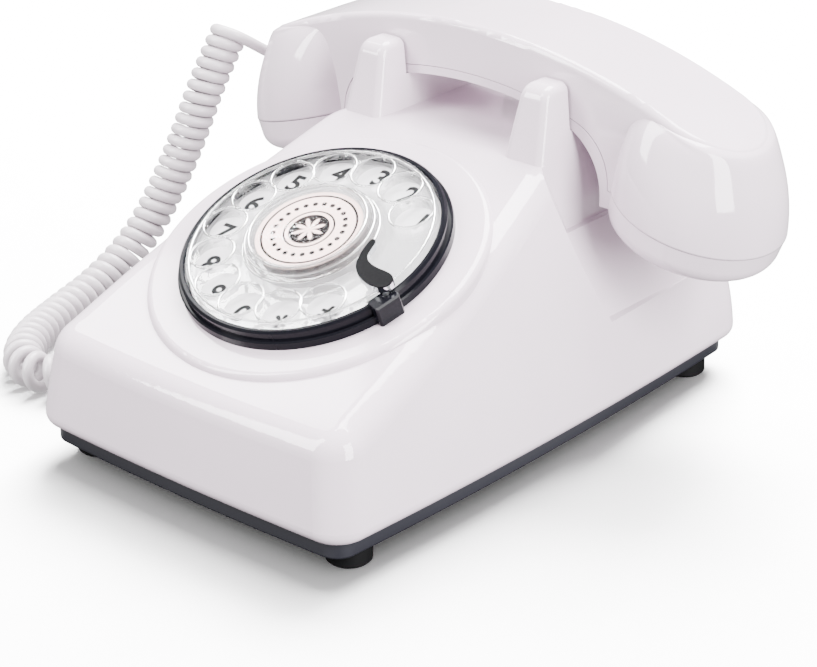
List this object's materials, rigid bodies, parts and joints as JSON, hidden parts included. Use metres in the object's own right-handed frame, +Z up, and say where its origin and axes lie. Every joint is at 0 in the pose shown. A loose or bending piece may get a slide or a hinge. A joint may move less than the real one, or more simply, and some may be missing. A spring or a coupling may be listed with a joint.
{
  "type": "rotary dial desk telephone",
  "caption": "Retro desk telephone with a sloping flared body, clear rotary finger wheel, pronged cradle, lift-off arched handset and curly handset cord.",
  "frame": {"origin": "on the table, under the middle of the body", "axes": "+Z up, -Y to the front where the dial faces, +X to the right of someone who dials, along the handset"},
  "size_m": [0.2639, 0.2244, 0.1335],
  "materials": {
    "white_abs": "glossy injection moulded ABS",
    "charcoal_abs": "fine-textured charcoal ABS",
    "black_rubber": "moulded rubber",
    "clear_acrylic": "polished clear acrylic",
    "dial_white": "satin white plastic with printed digits",
    "card_stock": "printed card",
    "plated_steel": "zinc plated steel",
    "chrome_plate": "bright chrome plate",
    "black_gloss": "glossy black plastic",
    "brass_gear": "machined brass",
    "spring_steel": "blued spring steel",
    "acetal": "natural acetal",
    "circuit_board": "solder-masked laminate",
    "dark_capsule": "black capsule housing",
    "white_pvc": "satin white PVC cord jacket",
    "clear_plug": "clear polycarbonate plug"
  },
  "bodies": {
    "base": {"body_shell": "white_abs", "base_plate": "charcoal_abs", "rubber_feet": "black_rubber", "base_screws": "plated_steel", "ballast_plate": "plated_steel", "main_board": "circuit_board", "board_screws": "plated_steel", "ringer": "dark_capsule", "handset_jack": "charcoal_abs", "line_jack": "charcoal_abs", "base_plug": "clear_plug", "hook_bracket": "plated_steel", "hook_switch": "dark_capsule", "dial_bezel": "charcoal_abs", "number_plate": "dial_white", "dial_frame": "acetal", "dial_screws": "plated_steel", "governor_pin": "plated_steel", "stop_block": "charcoal_abs"},
    "dial": {"finger_wheel": "clear_acrylic", "hub_ring": "clear_acrylic", "centre_card": "card_stock", "card_window": "clear_acrylic", "dial_shaft": "plated_steel", "drive_gear": "brass_gear", "return_spring": "spring_steel"},
    "governor": {"governor_pinion": "brass_gear"},
    "redial": {"redial_key": "chrome_plate", "redial_key_cap": "black_gloss", "redial_stem": "plated_steel"},
    "hook": {"hook_plungers": "white_abs", "hook_bar": "acetal"},
    "handset": {"handset_upper_shell": "white_abs", "handset_lower_shell": "white_abs", "handset_screws": "plated_steel", "receiver_capsule": "dark_capsule", "microphone_capsule": "dark_capsule", "handset_ballast": "plated_steel", "handset_socket": "charcoal_abs", "handset_plug": "clear_plug", "curly_cord": "white_pvc"}
  },
  "joints": [
    {"name": "dial_turn", "type": "hinge", "parent": "base", "child": "dial", "pos_m": [0, -0.0429, 0.0747], "axis": [0, -0.3795, 0.9252], "range_deg": [-318, 0], "stiffness_Nm_per_rad": 0.01, "springref_deg": 57.3},
    {"name": "governor_spin", "type": "hinge", "parent": "base", "child": "governor", "pos_m": [0, -0.0207, 0.08381], "axis": [0, -0.3795, 0.9252], "range_deg": [-30, 1332]},
    {"name": "redial_press", "type": "slide", "parent": "base", "child": "redial", "axis": [0, 0.3795, -0.9252], "range_m": [0, 0.0008], "stiffness_N_per_m": 100, "springref_m": -0.00026},
    {"name": "handset_lift", "type": "slide", "parent": "base", "child": "handset", "axis": [0, 0, 1], "range_m": [0, 0.1]},
    {"name": "hook_rise", "type": "slide", "parent": "base", "child": "hook", "axis": [0, 0, 1], "range_m": [0, 0.005]}
  ],
  "couplings": [
    {"joint": "governor_spin", "follows": "dial_turn", "ratio": -4},
    {"joint": "hook_rise", "follows": "handset_lift", "ratio": 0.05}
  ]
}
